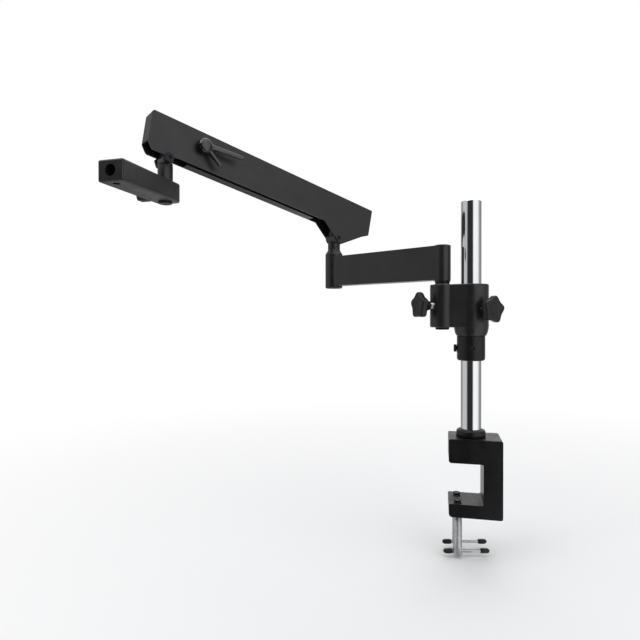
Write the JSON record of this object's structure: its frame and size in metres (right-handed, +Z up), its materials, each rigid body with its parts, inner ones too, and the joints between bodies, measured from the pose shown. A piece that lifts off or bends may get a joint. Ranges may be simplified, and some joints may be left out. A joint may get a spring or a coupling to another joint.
{
  "type": "stereo microscope articulating arm stand",
  "caption": "Spring-balanced articulating arm stand for a stereo microscope, with a chrome post, swivelling arms, a head crossbar and a screw-down bench clamp.",
  "frame": {"origin": "on the post axis at the underside of the upper clamp jaw, the plane that sits on the bench top", "axes": "+Z up along the post, -X towards the mouth of the clamp, -Y towards the side the crossbar points to"},
  "size_m": [0.556, 0.4449, 0.6827],
  "materials": {
    "black_casting": "satin black enamel on a casting",
    "black_paint": "fine-textured satin black paint",
    "chrome": "polished",
    "chrome_small": "bright plated thread",
    "black_plastic": "moulded, fine grain",
    "black_oxide": "black oxide",
    "lever_black": "gloss black powder coat",
    "washer": "dull zinc",
    "spring_steel": "oiled spring wire",
    "zinc_steel": "bright zinc"
  },
  "bodies": {
    "clamp": {"clamp_frame": "black_casting", "post": "chrome", "base_ring": "black_casting", "post_set_screw": "black_oxide"},
    "front_foot": {"front_pressure_foot": "black_oxide"},
    "front_screw": {"front_clamp_screw": "zinc_steel"},
    "front_bar": {"front_tommy_bar": "zinc_steel", "front_bar_cap_left": "black_plastic", "front_bar_cap_right": "black_plastic"},
    "back_foot": {"back_pressure_foot": "black_oxide"},
    "back_screw": {"back_clamp_screw": "zinc_steel"},
    "back_bar": {"back_tommy_bar": "zinc_steel", "back_bar_cap_left": "black_plastic", "back_bar_cap_right": "black_plastic"},
    "collar": {"safety_collar": "black_casting", "collar_set_screw": "black_oxide"},
    "collar_screw": {"collar_thumb_screw": "black_plastic"},
    "block": {"pillar_block": "black_paint"},
    "post_knob": {"post_knob_grip": "black_plastic", "post_knob_stud": "chrome_small"},
    "shoulder_knob": {"shoulder_knob_grip": "black_plastic", "shoulder_knob_stud": "chrome_small"},
    "arm_lower": {"lower_arm": "black_paint", "shoulder_pin": "zinc_steel", "shoulder_washer": "washer", "shoulder_retainer": "black_oxide", "elbow_washer": "washer"},
    "elbow": {"elbow_knuckle": "black_paint", "elbow_retainer": "black_oxide", "elbow_link_pin": "zinc_steel"},
    "spring_arm": {"arm_channel": "black_paint", "elbow_lift_pin": "black_oxide", "end_lift_bolt": "black_oxide", "end_lift_nut": "black_oxide", "brake_spacer": "zinc_steel", "brake_nut": "zinc_steel", "spring_seat": "zinc_steel"},
    "lever": {"lock_lever": "lever_black", "lever_stud": "zinc_steel"},
    "link": {"tie_link": "zinc_steel"},
    "draw": {"draw_rod": "zinc_steel", "rod_nut": "zinc_steel", "balance_spring": "spring_steel"},
    "end": {"end_knuckle": "black_paint", "end_link_pin": "zinc_steel", "end_retainer": "black_oxide"},
    "crossbar": {"crossbar": "black_paint"},
    "crossbar_knob": {"crossbar_knob_grip": "black_plastic", "crossbar_knob_stud": "zinc_steel"},
    "head_screw": {"head_set_screw": "black_oxide"}
  },
  "joints": [
    {"name": "front_screw_feed", "type": "slide", "parent": "clamp", "child": "front_foot", "axis": [0, 0, 1], "range_m": [0, 0.05]},
    {"name": "front_screw_turn", "type": "hinge", "parent": "front_foot", "child": "front_screw", "pos_m": [-0.021, -0.0175, 0], "axis": [0, 0, 1], "range_deg": [-165, 15]},
    {"name": "front_bar_slide", "type": "slide", "parent": "front_screw", "child": "front_bar", "axis": [0.9759, 0.2181, 0], "range_m": [-0.028, 0]},
    {"name": "back_screw_feed", "type": "slide", "parent": "clamp", "child": "back_foot", "axis": [0, 0, 1], "range_m": [0, 0.05]},
    {"name": "back_screw_turn", "type": "hinge", "parent": "back_foot", "child": "back_screw", "pos_m": [-0.021, 0.0175, 0], "axis": [0, 0, 1], "range_deg": [-15, 165]},
    {"name": "back_bar_slide", "type": "slide", "parent": "back_screw", "child": "back_bar", "axis": [0.9759, 0.2181, 0], "range_m": [-0.027, 0.001]},
    {"name": "collar_height", "type": "slide", "parent": "clamp", "child": "collar", "axis": [0, 0, 1], "range_m": [-0.105, 0.125], "stiffness_N_per_m": 100, "springref_m": 0.78},
    {"name": "collar_screw_turn", "type": "hinge", "parent": "collar", "child": "collar_screw", "pos_m": [0, 0, 0.176], "axis": [-0.9976, 0.0698, 0], "range_deg": [0, 360]},
    {"name": "block_swivel", "type": "hinge", "parent": "collar", "child": "block", "pos_m": [0, 0, 0], "axis": [0, 0, 1], "continuous": true},
    {"name": "post_knob_turn", "type": "hinge", "parent": "block", "child": "post_knob", "pos_m": [0, 0, 0.2368], "axis": [0.6691, -0.7431, 0], "range_deg": [0, 360]},
    {"name": "shoulder_knob_turn", "type": "hinge", "parent": "block", "child": "shoulder_knob", "pos_m": [-0.0442, 0, 0.2435], "axis": [-0.8572, -0.515, 0], "range_deg": [0, 360]},
    {"name": "shoulder_swivel", "type": "hinge", "parent": "block", "child": "arm_lower", "pos_m": [-0.0442, 0, 0], "axis": [0, 0, 1], "range_deg": [-105, 165]},
    {"name": "elbow_swivel", "type": "hinge", "parent": "arm_lower", "child": "elbow", "pos_m": [-0.2442, 0.11875, 0], "axis": [0, 0, 1], "range_deg": [-205, 50]},
    {"name": "arm_lift", "type": "hinge", "parent": "elbow", "child": "spring_arm", "pos_m": [-0.2442, 0.11875, 0.375], "axis": [-0.7455, 0.6665, 0], "range_deg": [-40, 25], "stiffness_Nm_per_rad": 5, "springref_deg": 75.4},
    {"name": "link_swing", "type": "hinge", "parent": "elbow", "child": "link", "pos_m": [-0.2442, 0.11875, 0.413], "axis": [-0.7455, 0.6665, 0], "range_deg": [-40, 25]},
    {"name": "rod_swing", "type": "hinge", "parent": "elbow", "child": "draw", "pos_m": [-0.2442, 0.11875, 0.413], "axis": [-0.7455, 0.6665, 0], "range_deg": [-40, 25], "deforming": ["balance_spring"]},
    {"name": "lock_lever_turn", "type": "hinge", "parent": "spring_arm", "child": "lever", "pos_m": [-0.42457, -0.08298, 0.49351], "axis": [0.7455, -0.6665, 0], "range_deg": [-15, 150]},
    {"name": "end_level", "type": "hinge", "parent": "spring_arm", "child": "end", "pos_m": [-0.46156, -0.12435, 0.46689], "axis": [-0.7455, 0.6665, 0], "range_deg": [-25, 40]},
    {"name": "crossbar_swivel", "type": "hinge", "parent": "end", "child": "crossbar", "pos_m": [-0.46156, -0.12435, 0], "axis": [0, 0, 1], "range_deg": [-165, 90]},
    {"name": "crossbar_knob_turn", "type": "hinge", "parent": "crossbar", "child": "crossbar_knob", "pos_m": [-0.46156, -0.12435, 0.4171], "axis": [-0.9984, 0.0558, 0], "range_deg": [0, 360]},
    {"name": "head_screw_turn", "type": "hinge", "parent": "crossbar", "child": "head_screw", "pos_m": [-0.46803, -0.24017, 0], "axis": [0, 0, 1], "range_deg": [0, 360]}
  ],
  "couplings": [
    {"joint": "link_swing", "follows": "arm_lift", "ratio": 1},
    {"joint": "rod_swing", "follows": "arm_lift", "ratio": 1},
    {"joint": "end_level", "follows": "arm_lift", "ratio": -1}
  ]
}
